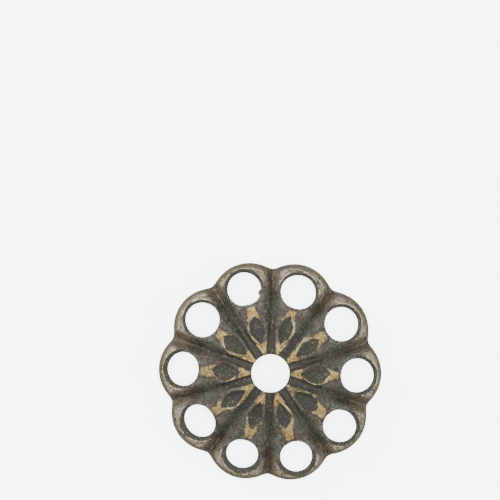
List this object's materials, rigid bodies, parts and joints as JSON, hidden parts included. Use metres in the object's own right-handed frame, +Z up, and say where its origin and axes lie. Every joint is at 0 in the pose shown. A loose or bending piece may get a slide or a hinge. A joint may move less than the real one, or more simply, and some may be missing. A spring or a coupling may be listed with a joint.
{
  "type": "bead cap",
  "caption": "Shallow domed flower-shaped bead cap stamped from thin antiqued brass sheet, with a round hole in the centre and in each petal.",
  "frame": {"origin": "centre of the rim, on the surface that the cap rests on", "axes": "+Z up through the centre hole, +X along the middle of one petal"},
  "size_m": [0.015, 0.0146, 0.003],
  "materials": {
    "antiqued_brass": "dark antique patina with the raised lines and edges worn back to warm metal"
  },
  "bodies": {
    "root": {"bead_cap": "antiqued_brass"}
  },
  "joints": []
}
